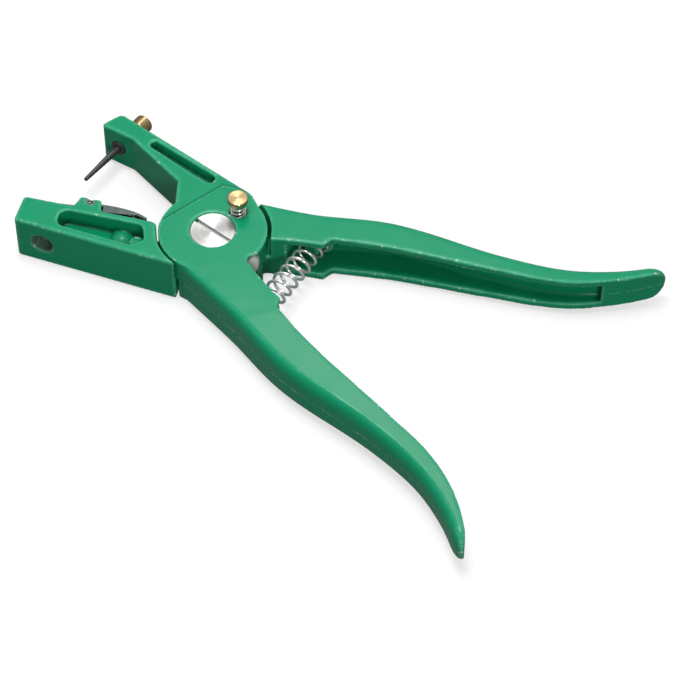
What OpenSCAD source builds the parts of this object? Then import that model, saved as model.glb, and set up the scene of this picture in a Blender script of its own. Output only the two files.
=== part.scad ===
// Ear tag pliers: two lapped die-cast levers on a shoulder screw, opened by a spring between
// the handles. The pin lever carries the needle, the tag lever carries the forked tag clip.
// Origin on the pivot axis at the underside, +X towards the handles, +Z up, millimetres.

/* [Hub] */
// Thickness of the tool through the hub and the tag jaw
body_t = 21; // [19:0.5:25]
// Radius of the two lapped hub discs
hub_r = 21.3; // [20.5:0.1:23]
// Gap between a hub disc and the round seat that the other lever keeps for it
seat_gap = 1.5; // [0.8:0.1:2.5]
// Gap between the pin lever's hub and the hollow end of the tag jaw
jaw_gap = 0.9; // [0.6:0.1:1.5]
// Radius of the tag lever's disc where it turns inside the pin lever's skirt
disc_r = 17.4; // [16.8:0.1:18]
// Height of the disc's wider brim over the underside
brim_lift = 0.4; // [0.2:0.1:1]
// Gap between that disc and the skirt
skirt_gap = 0.6; // [0.4:0.1:1]
// Direction at which the skirt starts beside the tag jaw
skirt_from = -98; // [-98.5:0.5:-90]
// Direction at which the skirt runs into the handle
skirt_to = -40; // [-50:1:-35]
// Gap between the two hub discs where they lap
lap_gap = 0.3; // [0.2:0.05:0.6]
// Distance from the pivot to the step in front of the raised hub top
hub_step_at = 16; // [13:0.5:18]
// Direction of that step from the pivot
hub_step_dir = 160; // [150:1:170]
// How far the raised hub top reaches past the hub on the pin jaw's root
hub_rim = 1.9; // [0.5:0.1:2.5]
// Radius of the relief between the hub and the spring housing
relief_r = 2; // [1:0.1:3]

/* [Handles] */
// Pin lever's handle station at the hub: along, aside, width
pin_hub = [0, 14, 14.6]; // [0:0.1:200]
// Pin lever's handle station at the arm: along, aside, width
pin_arm = [31, 24, 15.4]; // [0:0.1:200]
// Pin lever's handle station at the belly: along, aside, width
pin_belly = [60, 35.3, 15.2]; // [0:0.1:200]
// Tag lever's handle station at the hub: along, aside, width
tag_hub = [0.4, 13.2, 13]; // [0:0.1:200]
// Tag lever's handle station at the arm: along, aside, width
tag_arm = [31.6, 22.8, 12.9]; // [0:0.1:200]
// Tag lever's handle station at the belly: along, aside, width
tag_belly = [60.2, 34.9, 14.4]; // [0:0.1:200]
// Handle station at the waist: along, aside, width
st_waist = [100, 44.7, 9.8]; // [0:0.1:200]
// Handle station at the bend: along, aside, width
st_bend = [125, 52.5, 8.5]; // [0:0.1:200]
// Handle station at the grip end: along, aside, width
st_grip = [142, 63, 6.8]; // [0:0.1:200]
// Pin lever's handle station at the tip: along, aside, width
pin_tip = [155.6, 76.2, 3.8]; // [0:0.1:200]
// Tag lever's handle station at the tip: along, aside, width
tag_tip = [158, 77.4, 4.8]; // [0:0.1:200]
// Thickness of a handle at its tip
tip_t = 14.6; // [12:0.1:18]
// Distance from the pivot at which the handles start to get thinner
taper_from = 40; // [30:1:60]
// How far the outer edge is rounded inwards
edge_in = 3.4; // [1:0.1:4]
// How far the outer edge is rounded up and down
edge_up = 5.6; // [2:0.1:6.5]
// Length of the rounded nose at a handle's tip
nose_l = 7; // [3:0.5:10]
// Thickness of a handle's back wall behind its channel
web_t = 3; // [2:0.1:4]
// Thickness of a handle's two flanges beside its channel
flange_t = 3.1; // [2:0.1:4.5]
// Distance from the pivot at which a channel starts
channel_from = 27; // [25:0.5:29]
// Distance from the pivot at which a channel ends
channel_to = 138.5; // [120:0.5:143]

/* [Spring housing] */
// Corner of the housing nearest the hub: along, aside
house_in = [22.2, 7.6]; // [5:0.1:40]
// Corner of the housing farthest from the hub: along, aside
house_out = [40.6, 15.4]; // [5:0.1:50]
// Foot of the housing on the handle: along, aside
house_foot = [42.8, 21.8]; // [15:0.1:60]
// How far the housing's edge bows out
house_bow = 1; // [0:0.1:2]
// Distance of the return spring's axis from the pivot
spring_at = 33.3; // [33:0.1:34.5]
// Distance of each spring seat from the middle of the tool
spring_seat = 24; // [22:0.5:25]
// Radius of the boss that carries a spring seat
seat_boss_r = 6.2; // [5.5:0.1:6.8]
// Radius of the peg that holds the spring's end
peg_r = 3.2; // [2:0.1:3.5]
// Length of that peg
peg_l = 5; // [3:0.5:7]

/* [Return spring] */
// Mean diameter of the return spring
ret_d = 9; // [8.6:0.1:9.6]
// Wire diameter of the return spring
ret_wire = 1.25; // [0.8:0.05:1.3]
// Number of turns of the return spring
ret_turns = 11; // [8:1:14]

/* [Pivot] */
// Diameter of the screw's shoulder, on which the pin lever turns
pivot_d = 11; // [9:0.1:12.5]
// Running clearance round the shoulder
pivot_fit = 0.05; // [0.02:0.01:0.1]
// Diameter of the screw's head
head_d = 17.6; // [16:0.1:17.8]
// Thickness of the screw's head
head_t = 3; // [2:0.1:3.6]
// How deep the head lies under the hub's top
head_sink = 0.6; // [0.3:0.1:1.5]
// Width of the screwdriver slot
slot_w = 1.6; // [1:0.1:3]
// Depth of the screwdriver slot
slot_deep = 1.5; // [0.8:0.1:1.8]
// Direction of the screwdriver slot
slot_dir = -8; // [-90:1:90]
// Diameter of the screw's threaded end
thread_d = 8; // [6:0.1:8.5]
// Diameter of the round nut
nut_d = 16.6; // [14:0.1:17]
// Thickness of the round nut
nut_t = 4.6; // [3:0.1:5]
// Thickness of the washer on the nut
washer_t = 1.2; // [0.8:0.1:1.6]
// Diameter of the two spanner holes in the nut
spanner_d = 2.6; // [2:0.1:3]

/* [Lock button] */
// Distance of the lock button from the pivot
lock_at = 13.6; // [13:0.1:14]
// Direction of the lock button from the pivot
lock_dir = 76; // [65:1:80]
// Diameter of the button's head
button_d = 8.3; // [7:0.1:9]
// Diameter of the head at its underside
button_under_d = 6.9; // [6.4:0.1:7]
// Height of the button's head
button_h = 3.5; // [3.2:0.1:5]
// Height of the straight rim at the head's top
button_rim = 1.7; // [1:0.1:2.5]
// Height of the head's underside over the hub
button_rise = 4.3; // [4.2:0.1:6]
// Stroke of the button
lock_stroke = 3.6; // [2:0.1:3.8]
// Diameter of the button's stem
stem_d = 4; // [3:0.1:4.2]
// Diameter of the lock's foot
foot_d = 5; // [4.6:0.1:5.2]
// Height of the lock's foot
foot_h = 3; // [2:0.1:3.4]
// How far the foot reaches into the other hub at rest
foot_dip = 0.8; // [0.4:0.1:1.2]
// Depth of the pocket that holds the lock spring
lock_pocket = 4; // [3:0.1:4.5]
// Mean diameter of the lock spring
lock_spring_d = 5.5; // [5.2:0.1:5.7]
// Wire diameter of the lock spring
lock_wire = 0.8; // [0.5:0.05:0.9]
// Number of turns of the lock spring
lock_turns = 4.5; // [4:0.5:5]

/* [Pin jaw] */
// Distance of the needle from the pivot, along the jaw
needle_at = 61.5; // [58:0.1:64]
// Distance of the needle's pad from the middle of the tool
pad_y = 24.3; // [22:0.1:27]
// Depth of the jaw at the pad
pad_deep = 9.4; // [7:0.1:11]
// How far the pad reaches past the needle
pad_past = 8; // [5:0.1:9]
// How far the pad reaches back from the needle
pad_back = 7.2; // [5:0.1:9]
// Inner corner of the jaw's root: along, aside
pin_root = [-26.4, 15]; // [-40:0.1:30]
// Foot of the jaw's root on the hub: along, aside
pin_foot = [-21.4, 5.8]; // [-25:0.1:15]
// How far the jaw's back stands out from the hub
pin_back = 3.2; // [2:0.1:5]
// Thickness of the pin jaw
pin_jaw_t = 19.2; // [16:0.1:20]
// Chamfer along the edges of both jaws
jaw_edge = 0.6; // [0.3:0.1:1.5]
// Depth of the long slot in the jaw's top and underside
slot_pocket = 5; // [2:0.5:6.5]
// Distance of the slot's narrow end from the pad
slot_tip_at = 7.8; // [6:0.1:12]
// Width of the slot at its narrow end
slot_tip_w = 3.6; // [2.5:0.1:4.5]
// Distance of the slot's wide end from the pivot
slot_root_at = 14.7; // [14:0.1:20]
// Width of the slot at its wide end
slot_root_w = 4.8; // [3.5:0.1:5.5]
// Distance of the slot's middle line from the jaw's back
slot_in = 4.4; // [3.8:0.1:5]

/* [Needle] */
// Length of the needle in front of its pad
needle_l = 21; // [15:0.5:21.5]
// Diameter of the needle at its root
needle_d = 3.2; // [2.5:0.1:3.6]
// Diameter of the needle at its flat tip
tip_d = 1.6; // [1:0.1:2]
// Length of the chamfer at the needle's tip
tip_edge = 0.35; // [0.2:0.05:0.6]
// Lean of the needle
needle_tilt = -4; // [-6:0.5:0]
// Diameter of the collar at the needle's root
collar_d = 6.4; // [5.6:0.1:7.5]
// Thickness of the collar
collar_t = 2.2; // [1.5:0.1:3]
// How far the collar stands out of the pad
collar_proud = 0.6; // [0.2:0.1:1]
// Diameter of the needle's shank in the jaw
shank_d = 4.4; // [4:0.1:5]
// Length of the needle's shank
shank_l = 5.4; // [4:0.1:6]
// Diameter of the thumb screw's head
thumb_d = 7.2; // [6:0.1:9]
// Length of the thumb screw's head
thumb_l = 5.2; // [3:0.1:7]
// Length of the neck between the jaw and the head
neck_l = 2.4; // [1:0.1:4]
// Diameter of the thumb screw's thread in the needle
stud_d = 2.4; // [1.6:0.1:2.8]

/* [Tag jaw] */
// Root of the tag jaw's inner face: along, aside
tag_root = [-25.5, -9.4]; // [-40:0.1:10]
// Direction of the tag jaw's inner face
tag_dir = 16.8; // [14:0.1:18]
// Length of the inner face from its root to the tip
tag_l = 49.3; // [45:0.1:54]
// Depth of the tag jaw at its tip
tag_tip_deep = 12.9; // [11:0.1:15]
// How far the outer face runs on past the root of the inner face
jaw_heel = 17.6; // [12:0.1:18]
// Lean of the outer face to the inner face
tag_lean = 5.3; // [3:0.1:7]
// Distance of the tag hole from the root of the inner face
hole_at = 36.9; // [36:0.1:38]
// Diameter of the tag hole
hole_d = 8.5; // [8.2:0.1:9.5]
// Wall round the pockets in the tag jaw
tag_wall = 2.9; // [2:0.1:3.6]
// Depth of the pockets in the top and underside of the tag jaw
tag_pocket = 7.6; // [4:0.1:8]
// Distance of the pockets' near end from the root of the inner face
pocket_to = 32.9; // [26:0.1:33]
// Diameter of the boss round the bore of the clip spring
spring_boss_d = 10; // [8:0.1:11]
// Length of that boss from the pocket's wall to its round end
spring_boss_l = 3; // [2:0.1:5]
// Diameter of the small boss beside it
small_boss_d = 5.4; // [4:0.1:6]

/* [Tag clip] */
// Distance of the clip pin from the root of the inner face
pin_at = 23.3; // [22:0.1:25]
// Height of the clip pin over the inner face
pin_up = 3.2; // [3.1:0.05:3.6]
// Diameter of the clip pin
pin_d = 2; // [1.8:0.1:2.4]
// Running clearance round the clip pin
pin_fit = 0.05; // [0.02:0.01:0.1]
// Wall of the clip's eye round the pin
eye_wall = 1.5; // [1.2:0.05:1.6]
// How deep the pin's ends lie in the lugs
pin_recess = 1.2; // [0.3:0.1:1.6]
// Thickness of the lugs that hold the pin
lug_t = 3.4; // [2.5:0.1:4.5]
// Length of a lug along the jaw
lug_l = 11.6; // [10:0.1:13]
// Thickness of the clip's strip
clip_t = 1; // [0.6:0.05:1.2]
// Gap between the clip and each lug
clip_gap = 0.3; // [0.2:0.05:0.6]
// Reach of the clip's fork beyond the pin
fork_reach = 15; // [14:0.1:18]
// Height of the fork's tips over the inner face
fork_up = 1.7; // [1.2:0.1:2.5]
// Width of the fork's gap
fork_gap = 9; // [8:0.1:9.6]
// Reach of the clip's tail beyond the pin
tail_reach = 22.6; // [20:0.1:23]
// Height of the bow in the clip's tail over the inner face
bow_up = 5.8; // [5:0.1:6.5]
// Height of the tail's end over the inner face
tail_up = 3.4; // [3:0.1:4.5]
// Thickness of the tail's two side flanges
tail_flange = 0.8; // [0.6:0.05:1]
// Depth of the relief under the tail's end
tail_relief = 1.4; // [1:0.1:2]
// Distance of the clip spring from the root of the inner face
clip_spring_at = 8; // [7:0.1:9]
// Mean diameter of the clip spring
clip_spring_d = 4; // [3.6:0.1:4.2]
// Wire diameter of the clip spring
clip_wire = 0.6; // [0.4:0.05:0.7]
// Number of turns of the clip spring
clip_turns = 6; // [5:0.5:7]
// Depth of the bore that holds the clip spring
clip_bore = 6; // [5:0.1:6.5]

/* [Motion] */
// Angle by which the handles close
close_angle = 30; // [24:1:30]

/* [Hidden] */

enamel = [0.02, 0.42, 0.2];
bright = [0.78, 0.79, 0.8];
dark = [0.06, 0.06, 0.07];
brass = [0.8, 0.62, 0.28];

$fn = 64;
// Clearances: fixed joints, faces that pass each other, seats of the springs
fit = 0.05;
pass = 0.3;
seat = 0.1;
// Extra length of a cut beyond the face that it opens
over = 1;
mid = body_t / 2;
seat_r = hub_r + seat_gap;
lap_low = mid - lap_gap / 2;
lap_high = mid + lap_gap / 2;
pin_high = mid + pin_jaw_t / 2;
head_low = body_t - head_sink - head_t;
head_bore_d = head_d + 4 * fit;
nut_bore_d = nut_d + 4 * fit;
nut_top = nut_t + washer_t;
lock_xy = lock_at * [cos(lock_dir), sin(lock_dir)];
lock_bore_d = lock_spring_d + lock_wire + 0.6;
lock_floor = body_t - lock_pocket;
button_low = body_t + button_rise;
foot_low = lap_low - foot_dip;
foot_bore_d = foot_d + 2 * pass;
tenon_d = stem_d - 1;
eye_r = pin_d / 2 + pin_fit + eye_wall;
clip_low = lug_t + clip_gap;
clip_w = body_t - 2 * clip_low;
spring_bore_d = clip_spring_d + clip_wire + 0.5;
pin_stations = [pin_hub, pin_arm, pin_belly, st_waist, st_bend, st_grip, pin_tip];
tag_stations = [tag_hub, tag_arm, tag_belly, st_waist, st_bend, st_grip, tag_tip];

function unit(v) = v / norm(v);
function turned(v, a) = [v[0] * cos(a) - v[1] * sin(a), v[0] * sin(a) + v[1] * cos(a)];

// Corner of an outline rounded to radius r: the arc between its two tangent points
function corner(a, b, c, r, n) =
    let (u = unit(a - b), v = unit(c - b), half = acos(max(-1, min(1, u * v))) / 2)
    r < 0.01 || half > 89 ? [b] :
    let (m = b + unit(u + v) * r / sin(half),
        p = b + u * r / tan(half) - m,
        q = b + v * r / tan(half) - m,
        from = atan2(p[1], p[0]),
        sweep = (atan2(q[1], q[0]) - from + 900) % 360 - 180)
    [for (i = [0 : n]) m + r * [cos(from + sweep * i / n), sin(from + sweep * i / n)]];

function xy(p) = [p[0], p[1]];

// Outline with rounded corners from a list of [x, y, radius]
function rounded(pts, n = 6) = let (k = len(pts))
    [for (i = [0 : k - 1])
        each corner(xy(pts[(i + k - 1) % k]), xy(pts[i]), xy(pts[(i + 1) % k]), pts[i][2], n)];

function bezier(p, t) = len(p) == 1 ? p[0] :
    bezier([for (i = [0 : len(p) - 2]) p[i] * (1 - t) + p[i + 1] * t], t);

// Outline of a strip of even thickness along a line of points
function strip(line, t) = let (k = len(line) - 1,
    side = [for (i = [0 : k])
        let (d = unit(line[min(k, i + 1)] - line[max(0, i - 1)])) [-d[1], d[0]] * t / 2])
    concat([for (i = [0 : k]) line[i] + side[i]], [for (i = [k : -1 : 0]) line[i] - side[i]]);

// Smooth curve through a handle's stations, by the length along them
function knots(st) = [for (i = 0, s = 0; i < len(st);
    s = s + (i < len(st) - 1 ? norm(xy(st[i + 1] - st[i])) : 0), i = i + 1) s];
function handle_l(st) = knots(st)[len(st) - 1];
function slope(st, k, i) =
    let (a = max(0, i - 1), b = min(len(k) - 1, i + 1)) (st[b] - st[a]) / (k[b] - k[a]);
function station(st, s) = let (k = knots(st), i = max([0, for (j = [0 : len(k) - 2]) if (s >= k[j]) j]),
        h = k[i + 1] - k[i], t = (s - k[i]) / h)
    st[i] * (1 + 2 * t) * (1 - t) * (1 - t) + slope(st, k, i) * h * t * (1 - t) * (1 - t)
    + st[i + 1] * t * t * (3 - 2 * t) + slope(st, k, i + 1) * h * t * t * (t - 1);
function outward(st, s) =
    let (d = unit(xy(station(st, min(handle_l(st), s + 0.5)) - station(st, max(0, s - 0.5))))) [-d[1], d[0]];
// Length at which a handle's middle line reaches x
function length_at(st, x, low, high, n = 24) = let (m = (low + high) / 2)
    n == 0 ? m : station(st, m)[0] < x ? length_at(st, x, m, high, n - 1) : length_at(st, x, low, m, n - 1);
// Thickness of a handle at x
function thickness(st, x) = body_t
    - (body_t - tip_t) * max(0, x - taper_from) / (st[len(st) - 1][0] - taper_from);

// Solid between rings of points, each ring with the same number of points
module loft(rings) {
    k = len(rings[0]);
    n = len(rings);
    polyhedron(
        points = [for (r = rings) each r],
        faces = concat(
            [[for (j = [0 : k - 1]) j]],
            [for (i = [0 : n - 2], j = [0 : k - 1])
                let (a = i * k + j, b = i * k + (j + 1) % k) [a, a + k, b]],
            [for (i = [0 : n - 2], j = [0 : k - 1])
                let (a = i * k + j, b = i * k + (j + 1) % k) [b, a + k, b + k]],
            [[for (j = [k - 1 : -1 : 0]) (n - 1) * k + j]]));
}

// Tube of round wire along a path, six-sided
module wire(path, d) {
    n = len(path);
    ahead = [for (i = [0 : n - 1]) unit(path[min(n - 1, i + 1)] - path[max(0, i - 1)])];
    loft([for (i = [0 : n - 1])
        let (r = unit([path[i][0], path[i][1], 0] - ahead[i] * ([path[i][0], path[i][1], 0] * ahead[i])),
            b = cross(ahead[i], r))
        [for (j = [0 : 5]) path[i] + d / 2 * (cos(60 * j) * r + sin(60 * j) * b)]]);
}

// Path of a compression spring that stands on z = 0, with straight wire ends
curl = 8;
function coil(d, w, turns, l) = let (n = round(turns * curl), a = 360 * turns / n)
    concat([[d / 2, -w, w / 2]],
        [for (i = [0 : n]) [d / 2 * cos(a * i), d / 2 * sin(a * i), w / 2 + (l - w) * i / n]],
        [[d / 2 * cos(a * n) - w * sin(a * n), d / 2 * sin(a * n) + w * cos(a * n), l - w / 2]]);
// Least gap of a spring to itself, measured on its points more than half a turn apart
function least_gap(path, w) = min([for (i = [0 : len(path) - 1])
    for (j = [i + curl / 2 + 1 : 1 : len(path) - 1]) norm(path[i] - path[j])]) - w;

// Middle line of the clip's tail from the pin, and its height at a distance from the pin
eye_top = pin_up + eye_r - clip_t / 2;
clip_tail = [[0, eye_top], [4, eye_top + 0.5], [tail_reach * 0.45, bow_up + 0.5],
    [tail_reach * 0.8, bow_up + 0.2], [tail_reach, tail_up]];
function tail_height(x, low = 0, high = 1, n = 20) = let (m = (low + high) / 2, p = bezier(clip_tail, m))
    n == 0 ? p[1] : p[0] < x ? tail_height(x, m, high, n - 1) : tail_height(x, low, m, n - 1);
clip_spring_l = clip_bore + tail_height(pin_at - clip_spring_at + clip_spring_d / 2) - clip_t / 2 - 3 * seat;

ret_path = coil(ret_d, ret_wire, ret_turns, 2 * (spring_seat - seat));
lock_path = coil(lock_spring_d, lock_wire, lock_turns, button_low - lock_floor - 2 * seat);
clip_path = coil(clip_spring_d, clip_wire, clip_turns, clip_spring_l);
echo(return_spring_least_gap = least_gap(ret_path, ret_wire));
echo(lock_spring_least_gap = least_gap(lock_path, lock_wire));
echo(clip_spring_least_gap = least_gap(clip_path, clip_wire));

// Section of a handle: square on the inner side, rounded over on the outer side
function handle_section(w, t, grow) =
    let (a = min(edge_in, w * 0.6) * grow, b = min(edge_up, t / 2 - 0.4) * grow, n = 6)
    concat([[-w / 2, -t / 2]],
        [for (i = [0 : n]) [w / 2 - a + a * sin(90 * i / n), b - t / 2 - b * cos(90 * i / n)]],
        [for (i = [0 : n]) [w / 2 - a + a * cos(90 * i / n), t / 2 - b + b * sin(90 * i / n)]],
        [[-w / 2, t / 2]]);
function handle_ring(st, s, shrink) = let (p = station(st, s), o = outward(st, s))
    [for (q = handle_section(p[2] * shrink, thickness(st, p[0]) * shrink,
            0.6 + 0.4 * min(1, s / knots(st)[2])))
        [p[0] + o[0] * q[0], p[1] + o[1] * q[0], mid + q[1]]];

module handle_body(st) {
    whole = handle_l(st) - nose_l;
    n = 40;
    m = 6;
    loft(concat(
        [for (i = [0 : n]) handle_ring(st, whole * i / n, 1)],
        [for (i = [1 : m]) handle_ring(st, whole + nose_l * sin(90 * i / m), max(0.12, cos(90 * i / m)))]));
}

// Open channel along the inner side of a handle
module handle_channel(st) {
    from = length_at(st, channel_from, 0, handle_l(st));
    to = length_at(st, channel_to, 0, handle_l(st));
    n = 30;
    r = 1.6;
    loft([for (i = [0 : n])
        let (s = from + (to - from) * i / n, p = station(st, s), o = outward(st, s),
            h = thickness(st, p[0]) / 2 - flange_t, deep = p[2] / 2 - web_t)
        [for (q = [[-p[2], -h], [deep - r, -h], [deep - 0.3 * r, -h + 0.3 * r], [deep, r - h],
                [deep, h - r], [deep - 0.3 * r, h - 0.3 * r], [deep - r, h], [-p[2], h]])
            [p[0] + o[0] * q[0], p[1] + o[1] * q[0], mid + q[1]]]]);
}

// Housing of the return spring beside the hub
module spring_housing(st) {
    bow = house_bow * unit(turned(house_out - house_in, 90));
    edge = [house_in, (house_in + house_out) / 2 + bow, house_out];
    linear_extrude(body_t)
        polygon(concat([for (i = [0 : 8]) bezier(edge, i / 8)],
            [house_foot, [house_foot[0], st[1][1] + 2], [st[1][0] / 2, st[0][1] + 4], house_in / 2]));
}

module housing_pocket(st) {
    to = house_foot[0] + 6;
    translate([0, 0, flange_t])
        linear_extrude(body_t - 2 * flange_t)
            polygon([[channel_from, 0], [to, 0], [to, st[1][1] + 3], [channel_from, st[1][1] - 3]]);
}

// Round seat of the return spring, along the spring's axis
module on_spring_seat(r, from, l) {
    translate([spring_at, from, mid])
        rotate([-90, 0, 0])
            cylinder(r = r, h = l);
}

// Channel handle with the housing of the return spring; the seat's boss is left standing in the channel
module handle(st) {
    difference() {
        union() {
            handle_body(st);
            spring_housing(st);
        }
        difference() {
            union() {
                handle_channel(st);
                housing_pocket(st);
            }
            on_spring_seat(seat_boss_r, spring_seat, st[2][2]);
        }
    }
    on_spring_seat(peg_r, spring_seat - peg_l, peg_l + over);
}

// Frame on the tag jaw's inner face: x back to the hub, y towards the other jaw, z from mid height
module on_tag_face() {
    translate([tag_root[0], tag_root[1], mid])
        rotate(tag_dir)
            children();
}

function tag_outer(x) = -tag_tip_deep - (x + tag_l) * tan(tag_lean);

// Prism of a convex outline with chamfered edges
module chamfered(pts, t, c) {
    k = len(pts);
    inner = [for (i = [0 : k - 1])
        let (a = unit(pts[i] - pts[(i + k - 1) % k]), b = unit(pts[(i + 1) % k] - pts[i]),
            m = unit([-a[1] - b[1], a[0] + b[0]]))
        pts[i] + m * c / (m * [-a[1], a[0]])];
    hull() {
        translate([0, 0, c - t / 2])
            linear_extrude(t - 2 * c)
                polygon(pts);
        translate([0, 0, -t / 2])
            linear_extrude(t)
                polygon(inner);
    }
}

module tag_jaw() {
    chamfered(rounded([[-tag_l, tag_outer(-tag_l), 1.4], [jaw_heel, tag_outer(jaw_heel), 0],
        [jaw_heel, -6, 0], [3, 0, 1], [-tag_l, 0, 1.4]], 4), body_t, jaw_edge);
}

// Lug with two horns that holds the clip pin
module lug() {
    half = lug_l / 2;
    eye = pin_d / 2 + fit + 0.4;
    dip = pin_up + eye;
    top = dip + 0.5;
    translate([-pin_at, 0, 0])
        linear_extrude(lug_t)
            polygon(rounded([[-half, -over, 0], [half, -over, 0], [half - 1.6, top, 0.8],
                [eye + 0.3, top, 0.4], [eye - 0.3, dip, 0], [0.3 - eye, dip, 0],
                [-eye - 0.3, top, 0.4], [1.6 - half, top, 0.8]], 4));
}

module tag_pocket_cut() {
    far = -tag_wall;
    near = tag_outer(-pocket_to) + tag_wall + 0.6;
    linear_extrude(tag_pocket + over)
        polygon(rounded([[-pocket_to, near, 3.5], [-1, tag_outer(0) + tag_wall + 0.6, 2.5],
            [3, tag_outer(0) + tag_wall + 4.5, 2.5], [0, far, 3], [-pocket_to, far, 3.5]], 5));
}

// Round bosses on the floor of the pocket, the larger one round the bore of the clip spring
module pocket_bosses() {
    translate([-clip_spring_at, -tag_wall + 0.5, 0])
        rotate([90, 0, 0]) {
            cylinder(d = spring_boss_d, h = spring_boss_l);
            translate([0, 0, spring_boss_l])
                sphere(d = spring_boss_d);
        }
    translate([-1.4, tag_outer(0) + tag_wall + 6.9, tag_pocket - mid - 2.4])
        cylinder(d = small_boss_d, h = 2 * (mid - tag_pocket + 2.4));
}

module tag_jaw_cuts() {
    for (side = [0, 1])
        mirror([0, 0, side])
            translate([0, 0, mid - tag_pocket])
                tag_pocket_cut();
}

// True round bores of the tag jaw
module tag_jaw_bores() {
    translate([-hole_at, 0, 0])
        rotate([90, 0, -tag_lean])
            translate([0, 0, -6])
                cylinder(d = hole_d, h = tag_tip_deep + 12);
    translate([-clip_spring_at, over, 0])
        rotate([90, 0, 0])
            cylinder(d = spring_bore_d, h = clip_bore + over);
    translate([-pin_at, pin_up, -mid - over])
        cylinder(d = pin_d + 2 * fit, h = body_t + 2 * over);
    translate([tail_reach - pin_at - 3.5, -tail_relief, -clip_w / 2 - pass])
        cube([9, tail_relief + over, clip_w + 2 * pass]);
}

// Round groove in the lower hub for the foot of the lock, with a deep pocket at each of its ends
module lock_pockets() {
    for (a = [0, close_angle])
        rotate(lock_dir + a)
            translate([lock_at, 0, foot_low - lock_stroke - pass])
                cylinder(d = foot_bore_d + 2 * pass, h = body_t);
    rotate(lock_dir)
        translate([0, 0, foot_low - pass])
            rotate_extrude(angle = close_angle)
                translate([lock_at - foot_bore_d / 2, 0])
                    square([foot_bore_d, mid]);
}

// Ring-shaped sector about the pivot, standing on z = 0
module sector(r1, r2, from, to, h) {
    rotate(from)
        rotate_extrude(angle = to - from)
            translate([r1, 0])
                square([r2 - r1, h]);
}

// Disc of the tag lever, with a wider brim where the pin lever's skirt doesn't turn round it
module tag_disc() {
    cylinder(r = disc_r, h = lap_low);
    translate([0, 0, brim_lift])
        sector(disc_r - 1, hub_r, skirt_to + close_angle + 6, skirt_from + 346, lap_low - brim_lift);
}

// Room for the pin lever's hub over that disc, closer at the tag jaw
module tag_seat() {
    cylinder(r = hub_r + jaw_gap, h = body_t);
    intersection() {
        cylinder(r = seat_r, h = body_t);
        translate([0, -seat_r, 0])
            cube([seat_r, 2 * seat_r, body_t]);
    }
}

module hub_relief(side) {
    rotate(side * 13)
        translate([hub_r + 0.6, 0, -over])
            cylinder(r = relief_r, h = body_t + 2 * over);
}

module tag_lever() {
    color(enamel)
        difference() {
            union() {
                handle(tag_stations);
                on_tag_face() {
                    difference() {
                        tag_jaw();
                        tag_jaw_cuts();
                    }
                    pocket_bosses();
                    for (side = [0, 1])
                        mirror([0, 0, side])
                            translate([0, 0, mid - lug_t])
                                lug();
                }
                tag_disc();
            }
            translate([0, 0, lap_low])
                tag_seat();
            on_tag_face()
                tag_jaw_bores();
            hub_relief(1);
            translate([0, 0, -over])
                cylinder(d = thread_d + 2 * fit, h = body_t);
            translate([0, 0, -over])
                cylinder(d = nut_bore_d, h = nut_top + over);
            lock_pockets();
        }
}

// Outline of the pin jaw: the pad at its tip, the arm, and the root on the hub
pad_in = -needle_at + pad_back;
pad_out = -needle_at - pad_past;
back_y = pad_y + pad_deep;
pin_heel = [1.5, hub_r + pin_back];
function back_at(x) = back_y + (pin_heel[1] - back_y) * (x - pad_out - 4) / (pin_heel[0] - pad_out - 4);
module pin_jaw_pad() {
    chamfered(rounded([[pad_out, pad_y, 1.2], [pad_in + 1, pad_y, 0], [pad_in + 1, back_at(pad_in + 1), 0],
        [pad_out + 4, back_y, 2.5]], 4), pin_jaw_t, jaw_edge);
}
pin_arm_outline = [[pad_in, pad_y], pin_root + 16 * unit(pin_root - [pad_in, pad_y]),
    hub_r * [cos(66), sin(66)], pin_heel, [pad_in - 4, back_at(pad_in - 4)]];
module pin_jaw_arm() {
    chamfered(pin_arm_outline, pin_jaw_t, jaw_edge);
}
module pin_jaw_root() {
    chamfered([pin_root, pin_foot, [-12, 0], [0, 4], [0, hub_r - 2], [pin_root[0] + 6, pin_root[1] + 6]],
        pin_jaw_t, jaw_edge);
}

// Long round-ended slot in the pin jaw, wider towards the hub
module pin_jaw_slot() {
    tip = [pad_in + slot_tip_at, back_at(pad_in + slot_tip_at) - slot_in];
    root = [-slot_root_at, back_at(-slot_root_at) - slot_in - 0.2];
    a = slot_tip_w / 2;
    b = slot_root_w / 2;
    linear_extrude(slot_pocket + over)
        polygon(rounded([[tip[0], tip[1] - a, a - 0.2], [root[0], root[1] - b, b - 0.2],
            [root[0] + 1, root[1] + b, b - 0.2], [tip[0], tip[1] + a, a - 0.2]], 5));
}

// Frame on the needle's pad: z along the needle, away from the jaw
module on_needle() {
    translate([-needle_at, pad_y, mid])
        rotate(needle_tilt)
            rotate([90, 0, 0])
                children();
}

// Raised top of the hub, ended by a straight step across the jaw's root
module hub_top() {
    intersection() {
        translate([0, 0, lap_high]) {
            cylinder(r = hub_r, h = body_t - lap_high);
            intersection() {
                cylinder(r = hub_r + hub_rim, h = body_t - lap_high);
                linear_extrude(body_t - lap_high)
                    polygon(pin_arm_outline);
            }
        }
        rotate(hub_step_dir)
            translate([-2 * hub_r, -2 * hub_r, 0])
                cube([2 * hub_r + hub_step_at, 4 * hub_r, body_t + over]);
    }
}

// Room for the tag lever's disc under the pin lever's hub, closer inside the skirt
module pin_seat() {
    difference() {
        cylinder(r = seat_r, h = body_t);
        translate([0, 0, -over])
            sector(disc_r + skirt_gap, seat_r + over, skirt_from, skirt_to, body_t + 2 * over);
    }
}

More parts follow.
